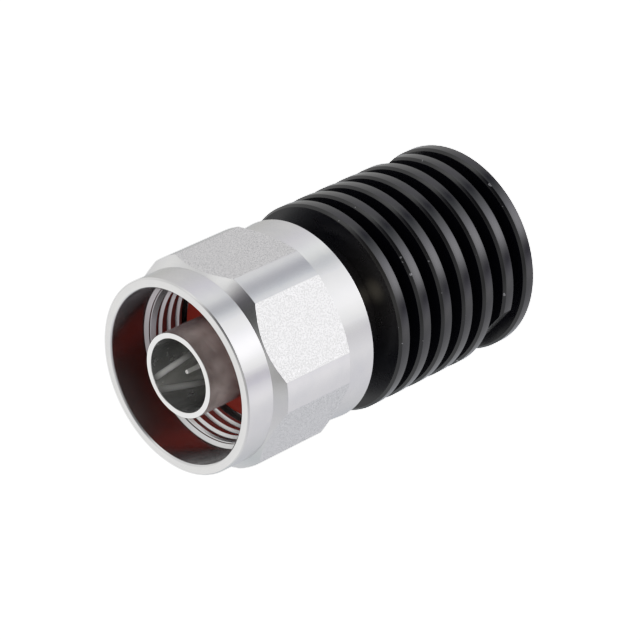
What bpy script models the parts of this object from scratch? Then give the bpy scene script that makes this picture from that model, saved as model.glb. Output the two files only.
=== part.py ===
"""Coaxial termination (rf dummy load) with a threaded plug and a finned heat sink.

The load stands on the flat back of its heat sink with the plug pointing up (+Z). The origin is the
centre of that back face. A free-turning coupling nut is held on the plug body by a split ring.
Inside, the centre pin feeds a rod resistor that lies in a tapered sleeve in the heat sink.
Radii and heights are in metres; MM turns millimetres into metres.
"""
import math

import bmesh
import bpy
from mathutils import Matrix

MM = 0.001
FIT_GAP = 0.3 * MM                   # running or seating gap between neighbouring pieces

# Coaxial line: the outer contact and the beads are sized from its bore
LINE_BORE_RADIUS = 3.5 * MM          # bore of the outer conductor, 7 mm across
FRONT_BEAD_STEP = 0.2 * MM           # how far each bead stands out past the line bore
SUPPORT_BEAD_STEP = 0.5 * MM
SUPPORT_BEAD_THICKNESS = 1.2 * MM

# Outer contact
CONTACT_WALL = 0.52 * MM
CONTACT_FLANGE_STEP = 0.78 * MM
OUTER_CONTACT_REACH = 8.84 * MM      # in front of the gasket face
CONTACT_EDGE_CHAMFER = 0.06 * MM

# Plug body
PLUG_BODY_WALL = 1.8 * MM            # outside the seat of the contact's flange
PLUG_BODY_LENGTH = 6.7 * MM          # from the shoulder on the neck to the gasket face
SPIGOT_WALL = 0.7 * MM
SPIGOT_LENGTH = 7.2 * MM
CONTACT_SEAT_DEPTH = 3.0 * MM
BEAD_SEAT_DEPTH = 3.0 * MM
BODY_EDGE_CHAMFER = 0.2 * MM

# Centre pin and the inner conductor behind it
PIN_TIP_RADIUS = 0.25 * MM
PIN_NOSE_RADIUS = 0.36 * MM
PIN_NOSE_LENGTH = 2.0 * MM
PIN_TAPER_LENGTH = 1.6 * MM
PIN_RADIUS = 0.8 * MM
PIN_TIP_RECESS = 1.04 * MM           # below the front of the outer contact
PIN_BASE_RADIUS = 1.52 * MM
PIN_BASE_LENGTH = 2.9 * MM
PIN_STUD_RADIUS = 0.8 * MM
PIN_STUD_ENGAGEMENT = 1.3 * MM       # length inside the bullet's front socket
BULLET_WALL = 0.42 * MM
BULLET_SLOT_WIDTH = 0.3 * MM
BULLET_SLOT_LENGTH = 1.7 * MM

# Rod resistor with its two end caps
ROD_RADIUS = 1.2 * MM
ROD_LENGTH = 8.0 * MM
CAP_WALL = 0.35 * MM
CAP_END_THICKNESS = 0.6 * MM
CAP_OVERLAP = 1.2 * MM
CAP_NUB_RADIUS = 0.8 * MM
CAP_NUB_LENGTH = 1.5 * MM

# Tapered sleeve, ground fingers, wave washer and seal
SLEEVE_WALL = 0.7 * MM
SLEEVE_FLANGE_THICKNESS = 1.4 * MM
SLEEVE_TAPER_CLEARANCE = 0.55 * MM   # from the rear cap to the narrow end of the taper
FINGER_RING_WALL = 0.45 * MM
FINGER_RING_LENGTH = 2.6 * MM
FINGER_SLOT_WIDTH = 0.35 * MM
FINGER_SLOT_LENGTH = 1.8 * MM
WASHER_THICKNESS = 0.3 * MM
WASHER_WAVE_HEIGHT = 0.3 * MM
WASHER_WIDTH = 1.7 * MM
WASHER_WAVES = 3
SEAL_WIRE_RADIUS = 0.35 * MM

# Face gasket
GASKET_OVERHANG = 0.25 * MM          # past the plug body's front face
GASKET_THICKNESS = 0.7 * MM

# Retaining ring
RING_THICKNESS = 0.7 * MM
RING_WIDTH = 1.1 * MM
RING_DEPTH_IN_BODY = 0.4 * MM        # how far the ring reaches into the body's groove
RING_SETBACK = 2.65 * MM             # from the gasket face down to the ring
RING_SPLIT = 2.4 * MM

# Coupling nut
NUT_LENGTH = 15.4 * MM
NUT_STANDOFF = 3.2 * MM              # from the first fin to the nut's rear face
NUT_THREAD_CLEARANCE = 0.25 * MM     # from the gasket to the thread's crests
NUT_THREAD_LENGTH = 2.9 * MM
NUT_COUNTERSINK_LENGTH = 0.9 * MM
NUT_RELIEF_DEPTH = 0.6 * MM          # undercut behind the thread
NUT_MOUTH_STEP = 0.88 * MM           # from the thread's crests out to the mouth
NUT_RIM_WALL = 0.97 * MM
NUT_FRONT_COLLAR_LENGTH = 3.0 * MM
NUT_SHOULDER_STEP = 0.85 * MM        # from the front collar out to the corners
NUT_FRONT_CONE_LENGTH = 1.0 * MM
NUT_CORNER_STEP = 0.7 * MM           # from a flat out to the truncated corner
NUT_REAR_COLLAR_STEP = 0.5 * MM      # from the corners in to the rear collar
NUT_REAR_COLLAR_LENGTH = 3.1 * MM
NUT_REAR_CONE_LENGTH = 0.5 * MM
NUT_EDGE_CHAMFER = 0.15 * MM
NUT_REST_ANGLE = math.radians(-20.0)
HEX_SIDES = 6
HEX_CUTTER_WALL = 3.0 * MM

# Heat sink: end flange, fins above it and a neck that carries the plug body
FIN_SETBACK = 0.1 * MM               # the fins lie this far inside the nut's corners
FIN_THICKNESS = 1.0 * MM
FIN_PITCH = 2.8 * MM
FIN_COUNT = 6                        # fins above the end flange, which is as thick as a fin
FIN_EDGE_CHAMFER = 0.2 * MM
CORE_MARGIN = 0.1 * MM               # neck and groove bottoms stand out past the plug body
NECK_HEIGHT = 2.4 * MM
FLOOR_THICKNESS = 2.0 * MM           # closed end of the bore, at the flange
SPANNER_FLATS_ACROSS = 18.0 * MM     # two flats on the fin next to the flange
FLAT_CUTTER_MARGIN = 4.0 * MM

# Faceting of round pieces, in steps for a full turn
LARGE_STEPS = 60
MEDIUM_STEPS = 48
SMALL_STEPS = 24
SEAL_SECTION_STEPS = 8
MERGE_DISTANCE = 1e-6
SMOOTH_ANGLE = math.radians(35.0)

# Heights worked out from the values above
SINK_FRONT_Z = FIN_COUNT * FIN_PITCH + FIN_THICKNESS
NECK_TOP_Z = SINK_FRONT_Z + NECK_HEIGHT
BODY_SHOULDER_Z = NECK_TOP_Z + FIT_GAP
BODY_FRONT_Z = BODY_SHOULDER_Z + PLUG_BODY_LENGTH
SPIGOT_END_Z = BODY_SHOULDER_Z - SPIGOT_LENGTH
CONTACT_SEAT_Z = BODY_FRONT_Z - CONTACT_SEAT_DEPTH
BEAD_SEAT_Z = CONTACT_SEAT_Z - BEAD_SEAT_DEPTH
CONTACT_FRONT_Z = BODY_FRONT_Z + OUTER_CONTACT_REACH
PIN_TIP_Z = CONTACT_FRONT_Z - PIN_TIP_RECESS
FRONT_BEAD_TOP_Z = CONTACT_SEAT_Z
FRONT_BEAD_BOTTOM_Z = BEAD_SEAT_Z + FIT_GAP
GASKET_BOTTOM_Z = BODY_FRONT_Z + FIT_GAP
GASKET_TOP_Z = GASKET_BOTTOM_Z + GASKET_THICKNESS
RING_TOP_Z = BODY_FRONT_Z - RING_SETBACK
RING_BOTTOM_Z = RING_TOP_Z - RING_THICKNESS
NUT_REAR_Z = SINK_FRONT_Z + NUT_STANDOFF
NUT_FRONT_Z = NUT_REAR_Z + NUT_LENGTH
WASHER_BOTTOM_Z = FLOOR_THICKNESS + FIT_GAP
SLEEVE_BOTTOM_Z = WASHER_BOTTOM_Z + WASHER_THICKNESS + WASHER_WAVE_HEIGHT + FIT_GAP
SLEEVE_TOP_Z = SPIGOT_END_Z - FIT_GAP
SLEEVE_SEAT_Z = SLEEVE_TOP_Z - SLEEVE_FLANGE_THICKNESS - FIT_GAP
FINGER_SEAT_Z = SLEEVE_BOTTOM_Z + FINGER_RING_LENGTH + FIT_GAP
REAR_CAP_BOTTOM_Z = SLEEVE_BOTTOM_Z
ROD_BOTTOM_Z = REAR_CAP_BOTTOM_Z + CAP_END_THICKNESS + FIT_GAP
ROD_TOP_Z = ROD_BOTTOM_Z + ROD_LENGTH
FRONT_CAP_TOP_Z = ROD_TOP_Z + FIT_GAP + CAP_END_THICKNESS
NUB_TOP_Z = FRONT_CAP_TOP_Z + CAP_NUB_LENGTH
BULLET_BOTTOM_Z = FRONT_CAP_TOP_Z + FIT_GAP
BULLET_TOP_Z = FRONT_BEAD_BOTTOM_Z - FIT_GAP
SOCKET_TOP_Z = NUB_TOP_Z + FIT_GAP
STUD_BOTTOM_Z = BULLET_TOP_Z - PIN_STUD_ENGAGEMENT

# Radii worked out from the values above
OUTER_CONTACT_RADIUS = LINE_BORE_RADIUS + CONTACT_WALL
CONTACT_FLANGE_RADIUS = OUTER_CONTACT_RADIUS + CONTACT_FLANGE_STEP
CONTACT_SEAT_RADIUS = CONTACT_FLANGE_RADIUS + FIT_GAP
FRONT_BEAD_RADIUS = LINE_BORE_RADIUS + FRONT_BEAD_STEP
SUPPORT_BEAD_RADIUS = LINE_BORE_RADIUS + SUPPORT_BEAD_STEP
SUPPORT_SEAT_RADIUS = SUPPORT_BEAD_RADIUS + FIT_GAP
SPIGOT_RADIUS = SUPPORT_SEAT_RADIUS + SPIGOT_WALL
SPIGOT_BORE_RADIUS = SPIGOT_RADIUS + FIT_GAP
PLUG_BODY_RADIUS = CONTACT_SEAT_RADIUS + PLUG_BODY_WALL
CORE_RADIUS = PLUG_BODY_RADIUS + CORE_MARGIN
SEAL_CENTRE_RADIUS = SPIGOT_BORE_RADIUS + SEAL_WIRE_RADIUS
SEAL_SEAT_RADIUS = SEAL_CENTRE_RADIUS + SEAL_WIRE_RADIUS + FIT_GAP
SEAL_SEAT_DEPTH = 2.0 * SEAL_WIRE_RADIUS + FIT_GAP
SLEEVE_RADIUS = LINE_BORE_RADIUS + SLEEVE_WALL
SLEEVE_BORE_RADIUS = SLEEVE_RADIUS + FIT_GAP
RING_INNER_RADIUS = PLUG_BODY_RADIUS - RING_DEPTH_IN_BODY
RING_OUTER_RADIUS = RING_INNER_RADIUS + RING_WIDTH
GASKET_RADIUS = PLUG_BODY_RADIUS + GASKET_OVERHANG
NUT_BORE_RADIUS = PLUG_BODY_RADIUS + FIT_GAP
NUT_THREAD_MINOR_RADIUS = GASKET_RADIUS + NUT_THREAD_CLEARANCE
NUT_RELIEF_RADIUS = NUT_THREAD_MINOR_RADIUS + NUT_RELIEF_DEPTH
NUT_MOUTH_RADIUS = NUT_THREAD_MINOR_RADIUS + NUT_MOUTH_STEP
NUT_FRONT_COLLAR_RADIUS = NUT_MOUTH_RADIUS + NUT_RIM_WALL
NUT_CORNER_RADIUS = NUT_FRONT_COLLAR_RADIUS + NUT_SHOULDER_STEP
NUT_FLAT_RADIUS = NUT_CORNER_RADIUS - NUT_CORNER_STEP
NUT_REAR_COLLAR_RADIUS = NUT_CORNER_RADIUS - NUT_REAR_COLLAR_STEP
FIN_RADIUS = NUT_CORNER_RADIUS - FIN_SETBACK
CAP_BORE_RADIUS = ROD_RADIUS + FIT_GAP
CAP_RADIUS = CAP_BORE_RADIUS + CAP_WALL
FINGER_BORE_RADIUS = CAP_RADIUS + FIT_GAP
FINGER_RADIUS = FINGER_BORE_RADIUS + FINGER_RING_WALL
SLEEVE_TAPER_END_RADIUS = CAP_RADIUS + SLEEVE_TAPER_CLEARANCE
BULLET_SOCKET_RADIUS = PIN_STUD_RADIUS + FIT_GAP
BULLET_RADIUS = BULLET_SOCKET_RADIUS + BULLET_WALL
NUB_SOCKET_RADIUS = CAP_NUB_RADIUS + FIT_GAP


def clear_scene():
    """Remove every object that is already in the scene."""
    for old in list(bpy.data.objects):
        bpy.data.objects.remove(old, do_unlink=True)


def make_collection(name, hidden=False):
    """Return a new collection linked to the scene."""
    collection = bpy.data.collections.new(name)
    bpy.context.scene.collection.children.link(collection)
    collection.hide_render = hidden
    return collection


def make_material(name, colour, metallic, roughness):
    """Return a Principled material with the given colour and finish."""
    material = bpy.data.materials.new(name)
    material.use_nodes = True
    shader = material.node_tree.nodes["Principled BSDF"]
    shader.inputs["Base Color"].default_value = (*colour, 1.0)
    shader.inputs["Metallic"].default_value = metallic
    shader.inputs["Roughness"].default_value = roughness
    material.diffuse_color = (*colour, 1.0)
    return material


def turned(name, collection, outline, steps, closed=True):
    """Revolve an outline of (radius, height) points about Z with a Screw modifier.

    The outline runs down its outer side. A closed outline makes a ring; an open one starts and ends
    on the axis and makes a solid piece.
    """
    mesh = bpy.data.meshes.new(name)
    points = [(radius, 0.0, height) for radius, height in outline]
    edges = [(i, i + 1) for i in range(len(points) - 1)]
    if closed:
        edges.append((len(points) - 1, 0))
    mesh.from_pydata(points, edges, [])
    piece = bpy.data.objects.new(name, mesh)
    collection.objects.link(piece)
    screw = piece.modifiers.new("turn", "SCREW")
    screw.axis = "Z"
    screw.angle = math.tau
    screw.steps = steps
    screw.render_steps = steps
    screw.use_merge_vertices = True
    screw.merge_threshold = MERGE_DISTANCE
    return piece


def box_cutter(name, collection, size, centre, turn=0.0):
    """Return a box-shaped cutter of the given size, turned about Z after it is placed."""
    form = bmesh.new()
    bmesh.ops.create_cube(form, size=1.0, matrix=Matrix.Diagonal((*size, 1.0)))
    mesh = bpy.data.meshes.new(name)
    form.to_mesh(mesh)
    form.free()
    cutter = bpy.data.objects.new(name, mesh)
    cutter.matrix_world = Matrix.Rotation(turn, 4, "Z") @ Matrix.Translation(centre)
    cutter.hide_render = True
    cutter.display_type = "WIRE"
    collection.objects.link(cutter)
    return cutter


def cut(piece, cutter):
    """Cut a piece with another object."""
    boolean = piece.modifiers.new("cut " + cutter.name, "BOOLEAN")
    boolean.operation = "DIFFERENCE"
    boolean.solver = "EXACT"
    boolean.object = cutter


def finish(piece, material):
    """Apply the piece's modifiers, shade it smooth with sharp edges kept and dress it."""
    bpy.context.view_layer.update()
    evaluated = piece.evaluated_get(bpy.context.evaluated_depsgraph_get())
    mesh = bpy.data.meshes.new_from_object(evaluated)
    mesh.name = piece.name
    piece.modifiers.clear()
    piece.data = mesh
    mesh.shade_smooth()
    mesh.set_sharp_from_angle(angle=SMOOTH_ANGLE)
    mesh.materials.clear()
    mesh.materials.append(material)


def fin_rim(bottom, top):
    """Return the outer edge of one fin, top to bottom, with both corners chamfered."""
    inner = FIN_RADIUS - FIN_EDGE_CHAMFER
    return [(inner, top), (FIN_RADIUS, top - FIN_EDGE_CHAMFER),
            (FIN_RADIUS, bottom + FIN_EDGE_CHAMFER), (inner, bottom)]


def heat_sink(parts, cutters, material):
    """Finned aluminium heat sink: blind bore, neck, fins, end flange and spanner flats."""
    outline = [(0.0, FLOOR_THICKNESS), (SLEEVE_BORE_RADIUS, FLOOR_THICKNESS),
               (SLEEVE_BORE_RADIUS, SLEEVE_SEAT_Z), (SPIGOT_BORE_RADIUS, SLEEVE_SEAT_Z),
               (SPIGOT_BORE_RADIUS, NECK_TOP_Z - SEAL_SEAT_DEPTH),
               (SEAL_SEAT_RADIUS, NECK_TOP_Z - SEAL_SEAT_DEPTH), (SEAL_SEAT_RADIUS, NECK_TOP_Z),
               (CORE_RADIUS, NECK_TOP_Z), (CORE_RADIUS, SINK_FRONT_Z)]
    for fin in range(FIN_COUNT, -1, -1):
        bottom = fin * FIN_PITCH
        top = bottom + FIN_THICKNESS
        if fin < FIN_COUNT:
            outline.append((CORE_RADIUS, top))
        outline.extend(fin_rim(bottom, top))
        if fin > 0:
            outline.append((CORE_RADIUS, bottom))
    outline.append((0.0, 0.0))
    sink = turned("heat_sink", parts, outline, LARGE_STEPS, closed=False)
    groove = FIN_PITCH - FIN_THICKNESS
    for side in (-1.0, 1.0):
        depth = FLAT_CUTTER_MARGIN
        centre = (0.0, side * (SPANNER_FLATS_ACROSS / 2.0 + depth / 2.0), FIN_PITCH + FIN_THICKNESS / 2.0)
        size = (2.0 * FIN_RADIUS, depth, FIN_THICKNESS + groove)
        cut(sink, box_cutter("spanner_flat_cutter", cutters, size, centre))
    finish(sink, material)


def plug_body(parts, material):
    """Plug body: spigot into the heat sink, ring groove, and seats for contact and beads."""
    groove_floor = RING_INNER_RADIUS - FIT_GAP
    groove_top = RING_TOP_Z + FIT_GAP
    groove_bottom = RING_BOTTOM_Z - FIT_GAP
    bead_seat_radius = FRONT_BEAD_RADIUS + FIT_GAP
    support_seat_z = SPIGOT_END_Z + SUPPORT_BEAD_THICKNESS + FIT_GAP
    outline = [(CONTACT_SEAT_RADIUS, BODY_FRONT_Z),
               (PLUG_BODY_RADIUS - BODY_EDGE_CHAMFER, BODY_FRONT_Z),
               (PLUG_BODY_RADIUS, BODY_FRONT_Z - BODY_EDGE_CHAMFER),
               (PLUG_BODY_RADIUS, groove_top), (groove_floor, groove_top),
               (groove_floor, groove_bottom), (PLUG_BODY_RADIUS, groove_bottom),
               (PLUG_BODY_RADIUS, BODY_SHOULDER_Z), (SPIGOT_RADIUS, BODY_SHOULDER_Z),
               (SPIGOT_RADIUS, SPIGOT_END_Z), (SUPPORT_SEAT_RADIUS, SPIGOT_END_Z),
               (SUPPORT_SEAT_RADIUS, support_seat_z), (LINE_BORE_RADIUS, support_seat_z),
               (LINE_BORE_RADIUS, BEAD_SEAT_Z), (bead_seat_radius, BEAD_SEAT_Z),
               (bead_seat_radius, CONTACT_SEAT_Z), (CONTACT_SEAT_RADIUS, CONTACT_SEAT_Z)]
    finish(turned("plug_body", parts, outline, MEDIUM_STEPS), material)


def outer_contact(parts, material):
    """Outer contact: a thin tube that stands in the nut, with a flange seated in the plug body."""
    flange_bottom = CONTACT_SEAT_Z + FIT_GAP
    edge = CONTACT_EDGE_CHAMFER
    outline = [(LINE_BORE_RADIUS + edge, CONTACT_FRONT_Z), (OUTER_CONTACT_RADIUS - edge, CONTACT_FRONT_Z),
               (OUTER_CONTACT_RADIUS, CONTACT_FRONT_Z - edge), (OUTER_CONTACT_RADIUS, BODY_FRONT_Z),
               (CONTACT_FLANGE_RADIUS, BODY_FRONT_Z), (CONTACT_FLANGE_RADIUS, flange_bottom),
               (LINE_BORE_RADIUS, flange_bottom), (LINE_BORE_RADIUS, CONTACT_FRONT_Z - edge)]
    finish(turned("outer_contact", parts, outline, MEDIUM_STEPS), material)


def centre_pin(parts, material):
    """Centre pin: slender nose, contact shank, base against the bead and a stud into the bullet."""
    base_bottom = FRONT_BEAD_TOP_Z + FIT_GAP
    base_top = base_bottom + PIN_BASE_LENGTH
    nose_z = PIN_TIP_Z - PIN_NOSE_LENGTH
    shank_z = nose_z - PIN_TAPER_LENGTH
    outline = [(0.0, PIN_TIP_Z), (PIN_TIP_RADIUS, PIN_TIP_Z), (PIN_NOSE_RADIUS, nose_z),
               (PIN_RADIUS, shank_z), (PIN_RADIUS, base_top), (PIN_BASE_RADIUS, base_top),
               (PIN_BASE_RADIUS, base_bottom), (PIN_STUD_RADIUS, base_bottom),
               (PIN_STUD_RADIUS, STUD_BOTTOM_Z), (0.0, STUD_BOTTOM_Z)]
    finish(turned("centre_pin", parts, outline, SMALL_STEPS, closed=False), material)


def contact_bullet(parts, cutters, material):
    """Inner conductor between pin and resistor: a socket at each end, slotted round the nub."""
    stud_socket_z = STUD_BOTTOM_Z - FIT_GAP
    outline = [(0.0, stud_socket_z), (BULLET_SOCKET_RADIUS, stud_socket_z),
               (BULLET_SOCKET_RADIUS, BULLET_TOP_Z), (BULLET_RADIUS, BULLET_TOP_Z),
               (BULLET_RADIUS, BULLET_BOTTOM_Z), (NUB_SOCKET_RADIUS, BULLET_BOTTOM_Z),
               (NUB_SOCKET_RADIUS, SOCKET_TOP_Z), (0.0, SOCKET_TOP_Z)]
    bullet = turned("contact_bullet", parts, outline, SMALL_STEPS, closed=False)
    size = (4.0 * BULLET_RADIUS, BULLET_SLOT_WIDTH, 2.0 * BULLET_SLOT_LENGTH)
    for quarter in range(2):
        turn = (quarter + 0.5) * math.pi / 2.0
        cut(bullet, box_cutter("bullet_slot_cutter", cutters, size, (0.0, 0.0, BULLET_BOTTOM_Z), turn))
    finish(bullet, material)


def bead(name, parts, material, outer, hole, bottom, top):
    """Plain insulating ring."""
    outline = [(hole, top), (outer, top), (outer, bottom), (hole, bottom)]
    finish(turned(name, parts, outline, SMALL_STEPS), material)


def resistor(parts, ceramic, cap_metal):
    """Ceramic rod with a cup-shaped cap on each end; the front cap carries a nub."""
    rod = [(0.0, ROD_TOP_Z), (ROD_RADIUS, ROD_TOP_Z), (ROD_RADIUS, ROD_BOTTOM_Z), (0.0, ROD_BOTTOM_Z)]
    finish(turned("resistor_rod", parts, rod, SMALL_STEPS, closed=False), ceramic)
    cup_top = ROD_BOTTOM_Z + CAP_OVERLAP
    rear = [(0.0, ROD_BOTTOM_Z - FIT_GAP), (CAP_BORE_RADIUS, ROD_BOTTOM_Z - FIT_GAP),
            (CAP_BORE_RADIUS, cup_top), (CAP_RADIUS, cup_top),
            (CAP_RADIUS, REAR_CAP_BOTTOM_Z), (0.0, REAR_CAP_BOTTOM_Z)]
    finish(turned("resistor_rear_cap", parts, rear, SMALL_STEPS, closed=False), cap_metal)
    cup_bottom = ROD_TOP_Z - CAP_OVERLAP
    front = [(0.0, NUB_TOP_Z), (CAP_NUB_RADIUS, NUB_TOP_Z), (CAP_NUB_RADIUS, FRONT_CAP_TOP_Z),
             (CAP_RADIUS, FRONT_CAP_TOP_Z), (CAP_RADIUS, cup_bottom), (CAP_BORE_RADIUS, cup_bottom),
             (CAP_BORE_RADIUS, ROD_TOP_Z + FIT_GAP), (0.0, ROD_TOP_Z + FIT_GAP)]
    finish(turned("resistor_front_cap", parts, front, SMALL_STEPS, closed=False), cap_metal)


def taper_sleeve(parts, material):
    """Outer conductor round the resistor: a flange, a tapered bore and a seat for the fingers."""
    flange_bottom = SLEEVE_TOP_Z - SLEEVE_FLANGE_THICKNESS
    finger_seat_radius = FINGER_RADIUS + FIT_GAP
    outline = [(LINE_BORE_RADIUS, SLEEVE_TOP_Z), (SPIGOT_RADIUS, SLEEVE_TOP_Z),
               (SPIGOT_RADIUS, flange_bottom), (SLEEVE_RADIUS, flange_bottom),
               (SLEEVE_RADIUS, SLEEVE_BOTTOM_Z), (finger_seat_radius, SLEEVE_BOTTOM_Z),
               (finger_seat_radius, FINGER_SEAT_Z), (SLEEVE_TAPER_END_RADIUS, FINGER_SEAT_Z)]
    finish(turned("taper_sleeve", parts, outline, SMALL_STEPS), material)


def ground_finger_ring(parts, cutters, material):
    """Slotted ring whose fingers grip the rear cap."""
    top = SLEEVE_BOTTOM_Z + FINGER_RING_LENGTH
    outline = [(FINGER_BORE_RADIUS, top), (FINGER_RADIUS, top), (FINGER_RADIUS, SLEEVE_BOTTOM_Z),
               (FINGER_BORE_RADIUS, SLEEVE_BOTTOM_Z)]
    ring = turned("ground_finger_ring", parts, outline, SMALL_STEPS)
    size = (4.0 * FINGER_RADIUS, FINGER_SLOT_WIDTH, 2.0 * FINGER_SLOT_LENGTH)
    for slot in range(3):
        turn = (slot + 0.5) * math.pi / 3.0
        cut(ring, box_cutter("finger_slot_cutter", cutters, size, (0.0, 0.0, top), turn))
    finish(ring, material)


def wave_washer(parts, material):
    """Spring washer: a flat ring whose height follows a wave round its circle."""
    inner = SLEEVE_RADIUS - WASHER_WIDTH
    form = bmesh.new()
    corners = [(inner, WASHER_THICKNESS), (SLEEVE_RADIUS, WASHER_THICKNESS), (SLEEVE_RADIUS, 0.0),
               (inner, 0.0)]
    section = [form.verts.new((radius, 0.0, height)) for radius, height in corners]
    edges = [form.edges.new((section[i], section[(i + 1) % len(section)])) for i in range(len(section))]
    bmesh.ops.spin(form, geom=section + edges, cent=(0.0, 0.0, 0.0), axis=(0.0, 0.0, 1.0),
                   angle=math.tau, steps=MEDIUM_STEPS, use_merge=True)
    bmesh.ops.remove_doubles(form, verts=form.verts, dist=MERGE_DISTANCE)
    for corner in form.verts:
        wave = math.cos(WASHER_WAVES * math.atan2(corner.co.y, corner.co.x))
        corner.co.z += WASHER_BOTTOM_Z + WASHER_WAVE_HEIGHT * (1.0 + wave) / 2.0
    bmesh.ops.recalc_face_normals(form, faces=form.faces)
    mesh = bpy.data.meshes.new("wave_washer")
    form.to_mesh(mesh)
    form.free()
    washer = bpy.data.objects.new("wave_washer", mesh)
    parts.objects.link(washer)
    finish(washer, material)


def body_seal(parts, material):
    """O-ring in the seat at the top of the neck, under the plug body's shoulder."""
    centre_z = NECK_TOP_Z - SEAL_WIRE_RADIUS
    outline = []
    for i in range(SEAL_SECTION_STEPS):
        angle = math.pi / 2.0 - math.tau * i / SEAL_SECTION_STEPS
        outline.append((SEAL_CENTRE_RADIUS + SEAL_WIRE_RADIUS * math.cos(angle),
                        centre_z + SEAL_WIRE_RADIUS * math.sin(angle)))
    finish(turned("body_seal", parts, outline, MEDIUM_STEPS), material)


def face_gasket(parts, material):
    """Flat silicone gasket round the outer contact, at the bottom of the nut."""
    hole = OUTER_CONTACT_RADIUS + FIT_GAP
    outline = [(hole, GASKET_TOP_Z), (GASKET_RADIUS, GASKET_TOP_Z),
               (GASKET_RADIUS, GASKET_BOTTOM_Z), (hole, GASKET_BOTTOM_Z)]
    finish(turned("face_gasket", parts, outline, MEDIUM_STEPS), material)


def nut_retaining_ring(parts, cutters, material):
    """Split ring that sits half in the body's groove and half in the nut's."""
    outline = [(RING_INNER_RADIUS, RING_TOP_Z), (RING_OUTER_RADIUS, RING_TOP_Z),
               (RING_OUTER_RADIUS, RING_BOTTOM_Z), (RING_INNER_RADIUS, RING_BOTTOM_Z)]
    ring = turned("nut_retaining_ring", parts, outline, MEDIUM_STEPS)
    size = (2.0 * RING_OUTER_RADIUS, RING_SPLIT, 2.0 * RING_THICKNESS)
    centre = (RING_OUTER_RADIUS, 0.0, (RING_TOP_Z + RING_BOTTOM_Z) / 2.0)
    cut(ring, box_cutter("ring_split_cutter", cutters, size, centre))
    finish(ring, material)


def hexagon_cutter(cutters, bottom, top):
    """Six-sided ring whose inner faces are the nut's flats."""
    corner = NUT_FLAT_RADIUS / math.cos(math.pi / HEX_SIDES)
    form = bmesh.new()
    bmesh.ops.create_cone(form, cap_ends=False, segments=HEX_SIDES, radius1=corner, radius2=corner,
                          depth=top - bottom)
    mesh = bpy.data.meshes.new("hexagon_cutter")
    form.to_mesh(mesh)
    form.free()
    cutter = bpy.data.objects.new("hexagon_cutter", mesh)
    turn = Matrix.Rotation(NUT_REST_ANGLE, 4, "Z")
    cutter.matrix_world = Matrix.Translation((0.0, 0.0, (top + bottom) / 2.0)) @ turn
    cutter.hide_render = True
    cutter.display_type = "WIRE"
    cutters.objects.link(cutter)
    wall = cutter.modifiers.new("wall", "SOLIDIFY")
    wall.thickness = HEX_CUTTER_WALL
    wall.offset = 1.0
    wall.use_even_offset = True
    return cutter


def coupling_nut(parts, cutters, material):
    """Hexagon coupling nut: two collars, coned corners, mouth, thread land and ring groove."""
    edge = NUT_EDGE_CHAMFER
    collar_z = NUT_FRONT_Z - NUT_FRONT_COLLAR_LENGTH
    rear_collar_z = NUT_REAR_Z + NUT_REAR_COLLAR_LENGTH
    groove_radius = RING_OUTER_RADIUS + FIT_GAP
    relief_top = GASKET_TOP_Z + FIT_GAP
    relief_bottom = GASKET_BOTTOM_Z - FIT_GAP
    thread_top = relief_top + NUT_THREAD_LENGTH
    outline = [(NUT_MOUTH_RADIUS + edge, NUT_FRONT_Z), (NUT_FRONT_COLLAR_RADIUS - edge, NUT_FRONT_Z),
               (NUT_FRONT_COLLAR_RADIUS, NUT_FRONT_Z - edge), (NUT_FRONT_COLLAR_RADIUS, collar_z),
               (NUT_CORNER_RADIUS, collar_z - NUT_FRONT_CONE_LENGTH),
               (NUT_CORNER_RADIUS, rear_collar_z + NUT_REAR_CONE_LENGTH),
               (NUT_REAR_COLLAR_RADIUS, rear_collar_z), (NUT_REAR_COLLAR_RADIUS, NUT_REAR_Z + edge),
               (NUT_REAR_COLLAR_RADIUS - edge, NUT_REAR_Z), (NUT_BORE_RADIUS, NUT_REAR_Z),
               (NUT_BORE_RADIUS, RING_BOTTOM_Z - FIT_GAP), (groove_radius, RING_BOTTOM_Z - FIT_GAP),
               (groove_radius, RING_TOP_Z + FIT_GAP), (NUT_BORE_RADIUS, RING_TOP_Z + FIT_GAP),
               (NUT_BORE_RADIUS, relief_bottom), (NUT_RELIEF_RADIUS, relief_bottom),
               (NUT_RELIEF_RADIUS, relief_top), (NUT_THREAD_MINOR_RADIUS, relief_top),
               (NUT_THREAD_MINOR_RADIUS, thread_top),
               (NUT_MOUTH_RADIUS, thread_top + NUT_COUNTERSINK_LENGTH),
               (NUT_MOUTH_RADIUS, NUT_FRONT_Z - edge)]
    nut = turned("coupling_nut", parts, outline, LARGE_STEPS)
    nut.rotation_euler.z = NUT_REST_ANGLE
    cut(nut, hexagon_cutter(cutters, rear_collar_z, collar_z))
    finish(nut, material)


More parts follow.
